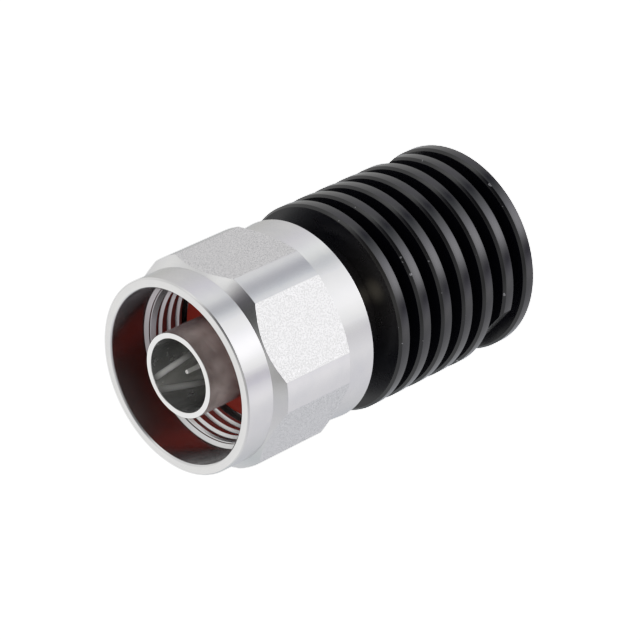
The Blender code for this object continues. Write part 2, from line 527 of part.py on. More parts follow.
def main():
    """Build every piece of the load."""
    clear_scene()
    parts = make_collection("rf_dummy_load")
    cutters = make_collection("cutters", hidden=True)

    anodised = make_material("black_anodised_aluminium", (0.018, 0.018, 0.02), 0.6, 0.34)
    nickel = make_material("nickel_plated_brass", (0.78, 0.78, 0.8), 1.0, 0.26)
    contact_metal = make_material("plated_contact", (0.72, 0.7, 0.68), 1.0, 0.2)
    spring_bronze = make_material("spring_bronze", (0.66, 0.44, 0.24), 1.0, 0.32)
    brass = make_material("turned_brass", (0.76, 0.58, 0.28), 1.0, 0.3)
    steel = make_material("spring_steel", (0.5, 0.5, 0.52), 1.0, 0.35)
    silicone = make_material("red_silicone", (0.42, 0.03, 0.02), 0.0, 0.45)
    seal_rubber = make_material("black_rubber", (0.02, 0.02, 0.02), 0.0, 0.6)
    ptfe = make_material("white_ptfe", (0.86, 0.86, 0.84), 0.0, 0.5)
    ceramic = make_material("resistor_ceramic", (0.7, 0.66, 0.58), 0.0, 0.4)

    heat_sink(parts, cutters, anodised)
    plug_body(parts, nickel)
    outer_contact(parts, contact_metal)
    centre_pin(parts, contact_metal)
    contact_bullet(parts, cutters, spring_bronze)
    bead("front_insulator", parts, ptfe, FRONT_BEAD_RADIUS, BULLET_SOCKET_RADIUS,
         FRONT_BEAD_BOTTOM_Z, FRONT_BEAD_TOP_Z)
    bead("resistor_support_bead", parts, ptfe, SUPPORT_BEAD_RADIUS, FINGER_BORE_RADIUS,
         SPIGOT_END_Z, SPIGOT_END_Z + SUPPORT_BEAD_THICKNESS)
    resistor(parts, ceramic, steel)
    taper_sleeve(parts, brass)
    ground_finger_ring(parts, cutters, spring_bronze)
    wave_washer(parts, steel)
    body_seal(parts, seal_rubber)
    face_gasket(parts, silicone)
    nut_retaining_ring(parts, cutters, spring_bronze)
    coupling_nut(parts, cutters, nickel)


if __name__ == "__main__":
    main()
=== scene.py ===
"""The rf dummy load's looks: turned nickel plug, black finned heat sink, soft studio light."""

import logging
import math
from dataclasses import dataclass, field
from enum import Enum
from typing import Any, Callable, Sequence

import bmesh
import bpy
from mathutils import Matrix, Vector

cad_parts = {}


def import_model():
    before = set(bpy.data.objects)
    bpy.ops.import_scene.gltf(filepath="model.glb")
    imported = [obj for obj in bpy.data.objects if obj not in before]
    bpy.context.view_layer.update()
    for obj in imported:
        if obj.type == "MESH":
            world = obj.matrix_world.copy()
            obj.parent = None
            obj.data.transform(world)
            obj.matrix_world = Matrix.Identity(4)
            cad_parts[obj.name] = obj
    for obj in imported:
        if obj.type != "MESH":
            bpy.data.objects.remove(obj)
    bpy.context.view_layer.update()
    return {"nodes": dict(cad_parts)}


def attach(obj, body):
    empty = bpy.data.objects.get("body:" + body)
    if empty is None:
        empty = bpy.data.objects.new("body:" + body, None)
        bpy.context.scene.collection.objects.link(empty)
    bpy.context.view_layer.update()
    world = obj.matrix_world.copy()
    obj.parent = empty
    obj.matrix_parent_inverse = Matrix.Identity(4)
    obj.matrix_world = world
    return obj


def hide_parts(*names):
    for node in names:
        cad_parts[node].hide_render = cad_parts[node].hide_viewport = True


LOG = logging.getLogger("dummy_load")
MM = 0.001
Corner = tuple[float, float, float]
Point = tuple[float, float]
Colour = tuple[float, float, float, float]


class Body(Enum):
    """The two bodies of the frame that pieces ride on."""

    LOAD = "load_body"
    NUT = "coupling_nut"


class Seal(Enum):
    """How a turned profile ends."""

    RING = "closed loop"
    POLES = "both ends on the axis"


class Signal:
    """One number in a node tree, with sums written as operators."""

    def __init__(self, bench: "Bench", socket: bpy.types.NodeSocket) -> None:
        """Keep the tree and the socket that gives the number."""
        self.bench = bench
        self.socket = socket

    def maths(self, operation: str, *values: Any) -> "Signal":
        """Add a Math node.

        Args:
            operation: the node's operation.
            values: its inputs, in order.

        Returns:
            The node's result.
        """
        node = self.bench.node("ShaderNodeMath", {"operation": operation}, dict(enumerate(values)))
        return Signal(self.bench, node.outputs[0])

    def __add__(self, other: Any) -> "Signal":
        """Sum."""
        return self.maths("ADD", self, other)

    __radd__ = __add__

    def __sub__(self, other: Any) -> "Signal":
        """Difference."""
        return self.maths("SUBTRACT", self, other)

    def __rsub__(self, other: Any) -> "Signal":
        """Difference, the other way round."""
        return self.maths("SUBTRACT", other, self)

    def __mul__(self, other: Any) -> "Signal":
        """Product."""
        return self.maths("MULTIPLY", self, other)

    __rmul__ = __mul__

    def __truediv__(self, other: Any) -> "Signal":
        """Quotient."""
        return self.maths("DIVIDE", self, other)

    def __rtruediv__(self, other: Any) -> "Signal":
        """Quotient, the other way round."""
        return self.maths("DIVIDE", other, self)

    def __pow__(self, other: Any) -> "Signal":
        """Power."""
        return self.maths("POWER", self, other)

    def sine(self) -> "Signal":
        """Sine of the number in radians."""
        return self.maths("SINE", self)

    def exponent(self) -> "Signal":
        """The number as a power of e."""
        return self.maths("EXPONENT", self)

    def above(self, floor: Any) -> "Signal":
        """The larger of the number and a floor."""
        return self.maths("MAXIMUM", self, floor)

    def below(self, ceiling: Any) -> "Signal":
        """The smaller of the number and a ceiling."""
        return self.maths("MINIMUM", self, ceiling)

    def ramp(self, low: float, high: float) -> "Signal":
        """Go smoothly from nought to one.

        Args:
            low: where it is nought.
            high: where it is one.

        Returns:
            The smooth step.
        """
        settings = {"interpolation_type": "SMOOTHSTEP"}
        values = {"Value": self, "From Min": low, "From Max": high}
        return Signal(self.bench, self.bench.node("ShaderNodeMapRange", settings, values).outputs[0])


class Bench:
    """A node tree and the one method that adds nodes to it."""

    def __init__(self, tree: bpy.types.NodeTree) -> None:
        """Clear a tree to work on."""
        self.tree = tree
        tree.nodes.clear()

    def node(self, kind: str, settings: dict[str, Any] | None = None, values: dict[Any, Any] | None = None) -> bpy.types.Node:
        """Add a node.

        Args:
            kind: the node's type.
            settings: its properties.
            values: its inputs by name or place, each a number, a colour, a socket or a Signal.

        Returns:
            The new node.
        """
        made = self.tree.nodes.new(kind)
        for name, value in (settings or {}).items():
            setattr(made, name, value)
        for key, value in (values or {}).items():
            if isinstance(value, Signal):
                self.tree.links.new(value.socket, made.inputs[key])
            elif isinstance(value, bpy.types.NodeSocket):
                self.tree.links.new(value, made.inputs[key])
            else:
                made.inputs[key].default_value = value
        return made

    def place(self) -> bpy.types.NodeSocket:
        """Object coordinates, in metres from the part's origin."""
        return self.node("ShaderNodeTexCoord").outputs["Object"]

    def axes(self) -> tuple[Signal, Signal, Signal]:
        """Split the object coordinates.

        Returns:
            x, y and z as signals, in millimetres.
        """
        parts = self.node("ShaderNodeSeparateXYZ", values={0: self.place()}).outputs
        return tuple(Signal(self, socket) * 1000.0 for socket in parts)

    def vector(self, x: Any, y: Any, z: Any) -> bpy.types.NodeSocket:
        """Join three numbers to a vector."""
        return self.node("ShaderNodeCombineXYZ", values={0: x, 1: y, 2: z}).outputs[0]

    def noise(self, vector: Any, scale: float, detail: float = 2.0, rough: float = 0.5) -> Signal:
        """Smooth noise.

        Args:
            vector: where it is read.
            scale: how fine it is.
            detail: how many finer layers it has.
            rough: how strong these are.

        Returns:
            The noise, from nought to one round a half.
        """
        values = {"Vector": vector, "Scale": scale, "Detail": detail, "Roughness": rough}
        return Signal(self, self.node("ShaderNodeTexNoise", None, values).outputs[0])

    def blend(self, share: Any, first: Any, second: Any) -> bpy.types.NodeSocket:
        """Mix two colours.

        Args:
            share: how much of the second.
            first: the first colour.
            second: the second colour.

        Returns:
            The mixed colour.
        """
        made = self.node("ShaderNodeMix", {"data_type": "RGBA"})
        for index, value in ((0, share), (6, first), (7, second)):
            if isinstance(value, Signal):
                self.tree.links.new(value.socket, made.inputs[index])
            elif isinstance(value, bpy.types.NodeSocket):
                self.tree.links.new(value, made.inputs[index])
            else:
                made.inputs[index].default_value = value
        return made.outputs[2]

    def relief(self, height: Any, depth: float, under: Any = None) -> bpy.types.NodeSocket:
        """Turn a height into a normal.

        Args:
            height: the height, nought to one.
            depth: its depth in millimetres.
            under: a normal that it lies on.

        Returns:
            The normal.
        """
        values = {"Strength": 1.0, "Distance": depth * MM, "Height": height}
        if under is not None:
            values["Normal"] = under
        return self.node("ShaderNodeBump", None, values).outputs[0]

    def surface(self, values: dict[str, Any]) -> None:
        """Finish a material with a Principled shader and its inputs."""
        shader = self.node("ShaderNodeBsdfPrincipled", None, values)
        self.node("ShaderNodeOutputMaterial", None, {0: shader.outputs[0]})


def new_material(name: str) -> tuple[bpy.types.Material, Bench]:
    """Start a material.

    Args:
        name: its name.

    Returns:
        The material and a bench on its tree.
    """
    material = bpy.data.materials.new(name)
    material.use_nodes = True
    return material, Bench(material.node_tree)


@dataclass(frozen=True)
class TurnedNickel:
    """Satin nickel plate on turned brass, with fine rings from the lathe and painted shade on one side of the wall
    inside the mouth.
    """

    name: str = "turned_nickel"
    colour: Colour = (0.635, 0.63, 0.625, 1.0)
    dull: Colour = (0.60, 0.60, 0.605, 1.0)
    painted_shade: Colour = (0.33, 0.31, 0.32, 1.0)
    shade_turn: float = 118.0
    roughness: float = 0.24
    ring_depth: float = 0.0012

    def material(self) -> bpy.types.Material:
        """Build the material."""
        material, bench = new_material(self.name)
        x, y, z = bench.axes()
        radius = (x * x + y * y) ** 0.5
        rings = bench.noise(bench.vector(radius, 0.0, z), 9.0, 3.0, 0.7)
        cloud = bench.noise(bench.place(), 420.0, 3.0, 0.6)
        rough = self.roughness + 0.04 * (cloud - 0.5)
        turn = math.radians(self.shade_turn)
        # Painted shade: the wall inside the mouth is darker on one side.
        darkening = ((x * math.cos(turn) + y * math.sin(turn)) / radius).ramp(0.3, 0.9) * (1.0 - radius.ramp(8.3, 8.36))
        clean = bench.blend(cloud.ramp(0.35, 0.75), self.colour, self.dull)
        bench.surface({
            "Base Color": bench.blend(darkening, clean, self.painted_shade),
            "Metallic": 1.0,
            "Roughness": rough,
            "Normal": bench.relief(rings, self.ring_depth),
            "Anisotropic": 0.3,
            "Anisotropic Rotation": 0.25,
        })
        return material


@dataclass(frozen=True)
class MilledNickel:
    """The nut's flats: nickel over milled brass, finely pitted, with short curved marks."""

    name: str = "milled_nickel"
    colour: Colour = (0.71, 0.705, 0.70, 1.0)
    pitted: Colour = (0.49, 0.49, 0.495, 1.0)
    roughness: float = 0.24
    pit_depth: float = 0.009

    def material(self) -> bpy.types.Material:
        """Build the material."""
        material, bench = new_material(self.name)
        pits = bench.noise(bench.place(), 9000.0, 2.0, 0.6).ramp(0.45, 0.7)
        grains = bench.noise(bench.vector(*(part + 5.0 for part in bench.axes())), 8.0, 1.0, 0.5).ramp(0.5, 0.75)
        cloud = bench.noise(bench.place(), 600.0, 2.0, 0.5)
        bench.surface({
            "Base Color": bench.blend(pits, self.colour, self.pitted),
            "Metallic": 1.0,
            "Roughness": self.roughness + 0.08 * (cloud - 0.5),
            "Normal": bench.relief(grains - pits, self.pit_depth),
        })
        return material


@dataclass(frozen=True)
class BlackAnodise:
    """Black anodised aluminium, satin, with turning rings, nicked edges and a faint painted brownish reflection on the
    front fin's face near the neck.
    """

    name: str = "black_anodise"
    colour: Colour = (0.0035, 0.0035, 0.0045, 1.0)
    ior: float = 1.51
    roughness: float = 0.15
    ring_depth: float = 0.003
    nick: Colour = (0.24, 0.24, 0.25, 1.0)
    painted_reflection: Colour = (0.12, 0.108, 0.085, 1.0)

    def material(self) -> bpy.types.Material:
        """Build the material."""
        material, bench = new_material(self.name)
        x, y, z = bench.axes()
        radius = (x * x + y * y) ** 0.5
        rings = bench.noise(bench.vector(radius, 0.0, z), 8.0, 3.0, 0.7)
        grain = bench.noise(bench.place(), 3200.0, 3.0, 0.7)
        cloud = bench.noise(bench.place(), 500.0, 3.0, 0.6)
        step = z.maths("MODULO", z, 2.8)
        edge = step.ramp(0.9, 1.0) * (1.0 - step.ramp(1.15, 1.25)) * radius.ramp(9.7, 9.8)
        nicks = bench.noise(bench.place(), 2400.0, 0.0, 0.0).ramp(0.80, 0.82) * edge
        # Painted reflection: a soft brownish patch on the front fin's face near the neck.
        far = ((x - 7.47) * (x - 7.47) + (y + 2.57) * (y + 2.57)) ** 0.5
        reflection_mask = (0.85 * (1.0 - far.ramp(0.0, 1.6)) + 0.12 * (1.0 - far.ramp(1.0, 7.0))) * z.ramp(17.7, 17.8)
        bench.surface({
            "Base Color": bench.blend(nicks, bench.blend(reflection_mask, self.colour, self.painted_reflection), self.nick),
            "Metallic": 0.0,
            "IOR": self.ior,
            "Roughness": self.roughness + 0.08 * (cloud - 0.5),
            "Normal": bench.relief(rings + 0.25 * grain, self.ring_depth),
        })
        return material


@dataclass(frozen=True)
class ScuffHighlightStreak:
    """A streak down a bore, dulled by scuffing and brightened by a painted highlight: where it starts, how it drifts,
    and where it fades out.
    """

    turn: float
    drift: float
    width: float
    strength: float
    low: float = 30.8
    high: float = 36.1
    mouth: float = 36.0

    def mask(self, x: Signal, y: Signal, z: Signal, radius: Signal) -> Signal:
        """Shape the streak.

        Args:
            x: across, in millimetres.
            y: across, in millimetres.
            z: along the axis, in millimetres.
            radius: distance from the axis, in millimetres.

        Returns:
            The streak's strength at each place.
        """
        angle = (self.mouth - z) * math.radians(self.drift) + math.radians(self.turn)
        along = (x * (angle + math.pi / 2).sine() + y * angle.sine()) / radius
        middle = (self.low + self.high) / 2
        fade = z.ramp(self.low, middle) * (1.0 - z.ramp(middle, self.high) ** 3.0)
        return along.ramp(math.cos(math.radians(self.width)), 1.0) * fade * self.strength


@dataclass(frozen=True)
class ContactPlate:
    """White-bronze plate: bright on the front ring and, with painted highlight streaks, in the bore; darker and
    brownish outside.
    """

    name: str = "contact_plate"
    bright: Colour = (0.86, 0.85, 0.83, 1.0)
    bore: Colour = (0.60, 0.60, 0.59, 1.0)
    outer_brown: Colour = (0.66, 0.585, 0.56, 1.0)
    outer_dark_brown: Colour = (0.48, 0.405, 0.385, 1.0)
    painted_highlight: Colour = (1.0, 1.0, 0.97, 1.0)
    roughness: float = 0.24
    bore_roughness: float = 0.26
    scuff_highlights: tuple[ScuffHighlightStreak, ...] = (ScuffHighlightStreak(153.8, -2.2, 5.5, 1.0), ScuffHighlightStreak(171.5, 4.2, 6.0, 0.6))

    def material(self) -> bpy.types.Material:
        """Build the material."""
        material, bench = new_material(self.name)
        x, y, z = bench.axes()
        radius = (x * x + y * y) ** 0.5
        rings = bench.noise(bench.vector(radius, 0.0, z), 10.0, 3.0, 0.7)
        cloud = bench.noise(bench.place(), 700.0, 3.0, 0.6)
        # Outside the bore the colour is darker and brownish, varied by the cloud.
        darkening = bench.blend(cloud.ramp(0.3, 0.7), self.outer_brown, self.outer_dark_brown)
        outside = radius.ramp(3.7, 3.9)
        # Painted highlight streaks in the bore: their mask brightens the colour and also roughens the surface, as
        # scuffing does.
        scuff_and_highlight: Any = 0.0
        for scuff_highlight in self.scuff_highlights:
            scuff_and_highlight = scuff_and_highlight + scuff_highlight.mask(x, y, z, radius)
        scuff_and_highlight = scuff_and_highlight * (1.0 - outside)
        bore = bench.blend(scuff_and_highlight, self.bore, self.painted_highlight)
        sides = bench.blend(outside, bore, darkening)
        rough = self.bore_roughness + (self.roughness - self.bore_roughness) * outside
        bench.surface({
            "Base Color": bench.blend(z.ramp(35.95, 36.0), sides, self.bright),
            "Metallic": 1.0,
            "Roughness": rough + 0.5 * scuff_and_highlight + 0.1 * (cloud - 0.5),
            "Normal": bench.relief(rings, 0.0015),
            "Anisotropic": 0.9,
            "Anisotropic Rotation": 0.25,
        })
        return material


@dataclass(frozen=True)
class Silicone:
    """Moulded rubber with a faint gloss."""

    name: str
    colour: Colour
    roughness: float = 0.45

    def material(self) -> bpy.types.Material:
        """Build the material."""
        material, bench = new_material(self.name)
        grain = bench.noise(bench.place(), 3000.0, 3.0, 0.6)
        cloud = bench.noise(bench.place(), 500.0, 2.0, 0.5)
        darker = tuple(0.7 * part for part in self.colour[:3]) + (1.0,)
        bench.surface({
            "Base Color": bench.blend(cloud, self.colour, darker),
            "Roughness": self.roughness + 0.2 * (grain - 0.5),
            "Normal": bench.relief(grain, 0.006),
        })
        return material


@dataclass(frozen=True)
class PlainMetal:
    """A bare turned or stamped metal inside the load."""

    name: str
    colour: Colour
    roughness: float = 0.3
    metallic: float = 1.0

    def material(self) -> bpy.types.Material:
        """Build the material."""
        material, bench = new_material(self.name)
        x, y, z = bench.axes()
        rings = bench.noise(bench.vector((x * x + y * y) ** 0.5, 0.0, z), 10.0, 3.0, 0.7)
        cloud = bench.noise(bench.place(), 900.0, 3.0, 0.6)
        darker = tuple(0.8 * part for part in self.colour[:3]) + (1.0,)
        bench.surface({
            "Base Color": bench.blend(cloud, self.colour, darker),
            "Metallic": self.metallic,
            "Roughness": self.roughness + 0.15 * (cloud - 0.5),
            "Normal": bench.relief(rings, 0.002),
        })
        return material


@dataclass(frozen=True)
class PlainSolid:
    """Turned plastic or fired ceramic."""

    name: str
    colour: Colour
    roughness: float = 0.5

    def material(self) -> bpy.types.Material:
        """Build the material."""
        material, bench = new_material(self.name)
        x, y, z = bench.axes()
        rings = bench.noise(bench.vector((x * x + y * y) ** 0.5, 0.0, z), 8.0, 2.0, 0.6)
        cloud = bench.noise(bench.place(), 800.0, 3.0, 0.6)
        darker = tuple(0.9 * part for part in self.colour[:3]) + (1.0,)
        bench.surface({
            "Base Color": bench.blend(cloud, self.colour, darker),
            "Roughness": self.roughness + 0.1 * (cloud - 0.5),
            "Normal": bench.relief(rings, 0.003),
        })
        return material


def select_none() -> None:
    """Leave edit mode and deselect everything."""
    if bpy.context.object is not None and bpy.context.object.mode != "OBJECT":
        bpy.ops.object.mode_set(mode="OBJECT")
    bpy.ops.object.select_all(action="DESELECT")


def activate(piece: bpy.types.Object) -> None:
    """Select one object alone and make it active."""
    select_none()
    piece.select_set(True)
    bpy.context.view_layer.objects.active = piece


def rounded(corners: Sequence[Corner], closed: bool) -> list[Point]:
    """Round the corners of a profile.

    Args:
        corners: radius, height and fillet of each corner, in millimetres.
        closed: whether the last corner joins the first.

    Returns:
        The profile's points, in millimetres.
    """
    points: list[Point] = []
    count = len(corners)
    for index, (radius, height, fillet) in enumerate(corners):
        here = Vector((radius, height))
        at_end = not closed and index in (0, count - 1)
        if fillet <= 0.0 or at_end:
            points.append((radius, height))
            continue
        before = Vector(corners[(index - 1) % count][:2]) - here
        after = Vector(corners[(index + 1) % count][:2]) - here
        turn = before.angle(after)
        reach = fillet / math.tan(turn / 2)
        reach = min(reach, 0.49 * before.length, 0.49 * after.length)
        size = reach * math.tan(turn / 2)
        middle = here + (before.normalized() + after.normalized()).normalized() * (size / math.sin(turn / 2))
        start = here + before.normalized() * reach - middle
        end = here + after.normalized() * reach - middle
        steps = max(2, round(math.degrees(math.pi - turn) / 15))
        swing = start.angle_signed(end)
        for step in range(steps + 1):
            spot = middle + Matrix.Rotation(-swing * step / steps, 2) @ start
            points.append((spot.x, spot.y))
    return points


def drawn(name: str, points: Sequence[Point], closed: bool) -> bpy.types.Object:
    """Draw a profile in the x-z plane, point by point.

    Args:
        name: the object's name.
        points: radius and height of each point, in millimetres.
        closed: whether the last point joins the first.

    Returns:
        A mesh of edges.
    """
    select_none()
    bpy.ops.mesh.primitive_plane_add(size=MM, location=(0, 0, 0))
    piece = bpy.context.object
    piece.name = name
    piece.data.name = name
    bpy.ops.object.mode_set(mode="EDIT")
    bpy.ops.mesh.select_all(action="SELECT")
    bpy.ops.mesh.merge(type="CENTER")
    bpy.ops.transform.translate(value=(points[0][0] * MM, 0, points[0][1] * MM))
    for (r_old, z_old), (r_new, z_new) in zip(points, points[1:]):
        move = ((r_new - r_old) * MM, 0, (z_new - z_old) * MM)
        bpy.ops.mesh.extrude_region_move(TRANSFORM_OT_translate={"value": move})
    if closed:
        mesh = bmesh.from_edit_mesh(piece.data)
        for vertex in mesh.verts:
            vertex.select = len(vertex.link_edges) == 1
        bmesh.update_edit_mesh(piece.data)
        bpy.ops.mesh.edge_face_add()
    bpy.ops.object.mode_set(mode="OBJECT")
    return piece


def turned(name: str, corners: Sequence[Corner], seal: Seal, steps: int = 192) -> bpy.types.Object:
    """Turn a profile about the axis, as on a lathe.

    Args:
        name: the piece's name.
        corners: radius, height and fillet of each corner, in millimetres.
        seal: how the profile ends.
        steps: how many steps make a full turn.

    Returns:
        The turned piece, closed and with its faces outward.
    """
    closed = seal is Seal.RING
    points = rounded(corners, closed)
    piece = drawn(name, points, closed)
    activate(piece)
    bpy.ops.object.mode_set(mode="EDIT")
    bpy.ops.mesh.select_all(action="SELECT")
    bpy.ops.mesh.spin(steps=steps, dupli=False, angle=2 * math.pi, center=(0, 0, 0), axis=(0, 0, 1))
    bpy.ops.mesh.select_all(action="SELECT")
    bpy.ops.mesh.remove_doubles(threshold=0.002 * MM)
    bpy.ops.mesh.normals_make_consistent(inside=False)
    bpy.ops.object.mode_set(mode="OBJECT")
    return piece


def apply_modifier(piece: bpy.types.Object, kind: str, **settings: Any) -> None:
    """Add a modifier and apply it.

    Args:
        piece: the object.
        kind: the modifier's type.
        settings: its properties.
    """
    activate(piece)
    modifier = piece.modifiers.new(kind.lower(), kind)
    for name, value in settings.items():
        setattr(modifier, name, value)
    bpy.ops.object.modifier_apply(modifier=modifier.name)


def cut_away(piece: bpy.types.Object, cutter: bpy.types.Object) -> None:
    """Cut one solid out of another and delete the cutter."""
    apply_modifier(piece, "BOOLEAN", operation="DIFFERENCE", solver="EXACT", object=cutter)
    bpy.data.objects.remove(cutter, do_unlink=True)


def smooth(piece: bpy.types.Object, angle: float = 18.0) -> None:
    """Shade a piece smooth except over sharp edges, its broad faces true and its fillets round."""
    activate(piece)
    bpy.ops.object.shade_smooth_by_angle(angle=math.radians(angle))
    apply_modifier(piece, "WEIGHTED_NORMAL", mode="FACE_AREA", keep_sharp=True)


def dress(piece: bpy.types.Object, body: Body, slot: str, materials: Sequence[bpy.types.Material], *nodes: str) -> None:
    """Give a piece its materials and body.

    Args:
        piece: the finished piece.
        body: what it moves with.
        slot: a material slot's name, not used.
        materials: its materials, in slot order.
        nodes: the CAD nodes that it stands for.
    """
    piece.data.materials.clear()
    for material in materials:
        piece.data.materials.append(material)
    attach(piece, body.value)
    if nodes:
        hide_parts(*nodes)
    mesh = bmesh.new()
    mesh.from_mesh(piece.data)
    open_edges = sum(not edge.is_manifold for edge in mesh.edges)
    volume = mesh.calc_volume(signed=True) / MM ** 3
    mesh.free()
    LOG.info("%s: %d faces, %.0f mm3, %d open edges", piece.name, len(piece.data.polygons), volume, open_edges)


@dataclass
class HeatSink:
    """The black finned barrel: flange, six fins, neck and the two spanner flats."""

    fin_radius: float = 10.0
    rim_width: float = 1.0
    fin_pitch: float = 2.8
    fin_count: int = 6
    fin_edge: float = 0.04
    fin_chamfer: float = 0.23
    core_radius: float = 7.0
    neck_top: float = 20.2
    seat_radius: float = 6.3
    seat_height: float = 19.2
    spigot_radius: float = 5.3
    sleeve_shoulder: float = 13.0
    sleeve_radius: float = 4.5
    floor: float = 2.0
    flats_across: float = 18.0

    def profile(self) -> list[Corner]:
        """Draw half a section, from the back's centre round to the bore's floor."""
        edge, chamfer = self.fin_edge, self.fin_chamfer
        corners: list[Corner] = [(0.0, 0.0, 0.0)]
        for index in range(self.fin_count + 1):
            low = index * self.fin_pitch
            high = low + self.rim_width
            if index:
                corners.append((self.core_radius, low, 0.0))
            corners.append((self.fin_radius - edge, low, 0.01))
            corners.append((self.fin_radius, low + edge, 0.01))
            corners.append((self.fin_radius, high, 0.03))
            corners.append((self.fin_radius - chamfer, high + chamfer, 0.03))
            corners.append((self.core_radius, high + chamfer, 0.0))
        corners += [
            (self.core_radius, self.neck_top, 0.05),
            (self.seat_radius, self.neck_top, 0.05),
            (self.seat_radius, self.seat_height, 0.0),
            (self.spigot_radius, self.seat_height, 0.0),
            (self.spigot_radius, self.sleeve_shoulder, 0.0),
            (self.sleeve_radius, self.sleeve_shoulder, 0.0),
            (self.sleeve_radius, self.floor, 0.0),
            (0.0, self.floor, 0.0),
        ]
        return corners

    def build(self) -> bpy.types.Object:
        """Turn the barrel and mill its flats.

        Returns:
            The finished piece.
        """
        piece = turned("heat_sink_fine", self.profile(), Seal.POLES, 240)
        for side in (1, -1):
            select_none()
            reach = self.flats_across / 2
            bpy.ops.mesh.primitive_cube_add(size=1, location=(0, side * (reach + 2) * MM, 3.3 * MM))
            cutter = bpy.context.object
            bpy.ops.object.mode_set(mode="EDIT")
            bpy.ops.mesh.select_all(action="SELECT")
            centre = (0, side * (reach + 2) * MM, 3.3 * MM)
            bpy.ops.transform.resize(value=(22 * MM, 4 * MM, 2.8 * MM), center_override=centre)
            bpy.ops.object.mode_set(mode="OBJECT")
            cut_away(piece, cutter)
        smooth(piece)
        return piece

    def mark_walls(self, piece: bpy.types.Object) -> None:
        """Give the fins' sides and the grooves the second, duller material."""
        rim = (self.fin_radius - self.fin_chamfer - 0.05) * MM
        for face in piece.data.polygons:
            inside = math.hypot(face.center.x, face.center.y) < rim and abs(face.center.y) < 8.95 * MM
            if inside and face.center.z > 0.1 * MM:
                face.material_index = 1

@dataclass
class CouplingNut:
    """The captive hexagon nut with its collars, coned shoulders and inside thread."""

    across_flats: float = 18.8
    corner_radius: float = 10.1
    flat_turn: float = -20.0
    thread_minor: float = 7.4
    thread_major: float = 7.7
    thread_crest: float = 0.34
    thread_pitch: float = 1.058
    thread_low: float = 27.75
    thread_turns: int = 4
    edge: float = 0.15

    def profile(self) -> list[Corner]:
        """Draw the nut's section as a closed loop."""
        return [
            (7.2, 21.0, 0.05), (9.45, 21.0, 0.03), (9.6, 21.15, 0.03), (9.37, 24.1, 0.0),
            (10.1, 24.6, 0.05), (10.1, 32.4, 0.05), (9.25, 33.4, 0.05),
            (9.25, 36.25, 0.03), (9.1, 36.4, 0.03), (8.43, 36.4, 0.03), (8.28, 36.25, 0.03),
            (8.28, 32.35, 0.04), (7.9, 32.12, 0.0), (7.87, 32.0, 0.0), (7.8, 31.95, 0.0),
            (7.4, 31.4, 0.05), (7.4, 28.5, 0.0), (8.0, 28.5, 0.0),
            (8.0, 27.2, 0.1), (7.2, 27.2, 0.0), (7.2, 24.85, 0.0), (7.9, 24.85, 0.0),
            (7.9, 23.55, 0.0), (7.2, 23.55, 0.0),
        ]

    def flats_ring(self) -> bpy.types.Object:
        """Make a ring with a hexagon hole that mills the flats."""
        select_none()
        bpy.ops.mesh.primitive_cylinder_add(
            vertices=6, radius=self.across_flats / 2 / math.cos(math.pi / 6) * MM,
            depth=9.3 * MM, location=(0, 0, 28.75 * MM), end_fill_type="NOTHING")
        ring = bpy.context.object
        bpy.ops.object.mode_set(mode="EDIT")
        bpy.ops.mesh.select_all(action="SELECT")
        mesh = bmesh.from_edit_mesh(ring.data)
        bmesh.ops.rotate(mesh, verts=mesh.verts, cent=(0, 0, 0),
                         matrix=Matrix.Rotation(math.radians(self.flat_turn), 3, "Z"))
        bmesh.update_edit_mesh(ring.data)
        bpy.ops.mesh.extrude_region()
        bpy.ops.transform.resize(value=(1.3, 1.3, 1.0), center_override=(0, 0, 0))
        bpy.ops.mesh.select_all(action="SELECT")
        bpy.ops.mesh.normals_make_consistent(inside=False)
        bpy.ops.object.mode_set(mode="OBJECT")
        return ring

    def tap(self) -> bpy.types.Object:
        """Make the helical tap that cuts the thread, its crests and roots rounded."""
        half = 0.5 * (self.thread_pitch - self.thread_crest)
        depth = self.thread_major - self.thread_minor
        root = half - depth * math.tan(math.radians(30))
        corners = [
            (self.thread_minor - 0.12, -half - 0.12, 0.0), (self.thread_minor, -half, 0.1),
            (self.thread_major, -root, 0.06), (self.thread_major, root, 0.06),
            (self.thread_minor, half, 0.1), (self.thread_minor - 0.12, half + 0.12, 0.0),
        ]
        tap = drawn("thread_tap", [(r, self.thread_low + z) for r, z in rounded(corners, True)], True)
        turns = self.thread_turns
        apply_modifier(tap, "SCREW", angle=2 * math.pi * turns, screw_offset=self.thread_pitch * turns * MM,
                       steps=120 * turns, render_steps=120 * turns, axis="Z", use_merge_vertices=False)
        activate(tap)
        bpy.ops.object.mode_set(mode="EDIT")
        bpy.ops.mesh.select_all(action="SELECT")
        bpy.ops.mesh.fill_holes(sides=0)
        bpy.ops.mesh.select_all(action="SELECT")
        bpy.ops.mesh.normals_make_consistent(inside=False)
        bpy.ops.object.mode_set(mode="OBJECT")
        return tap

    def build(self) -> bpy.types.Object:
        """Turn the blank, mill the flats and cut the thread.

        Returns:
            The finished nut.
        """
        piece = turned("coupling_nut_fine", self.profile(), Seal.RING, 240)
        cut_away(piece, self.flats_ring())
        cut_away(piece, self.tap())
        smooth(piece)
        return piece

    def mark_flats(self, piece: bpy.types.Object) -> None:
        """Give the six flats the second material."""
        reach = self.across_flats / 2 * MM
        for face in piece.data.polygons:
            flat = abs(face.normal.z) < 0.01 and abs(face.center.dot(face.normal) - reach) < 0.01 * MM
            turn = math.degrees(math.atan2(face.normal.y, face.normal.x)) - self.flat_turn
            if flat and abs((turn + 30) % 60 - 30) < 0.5:
                face.material_index = 1


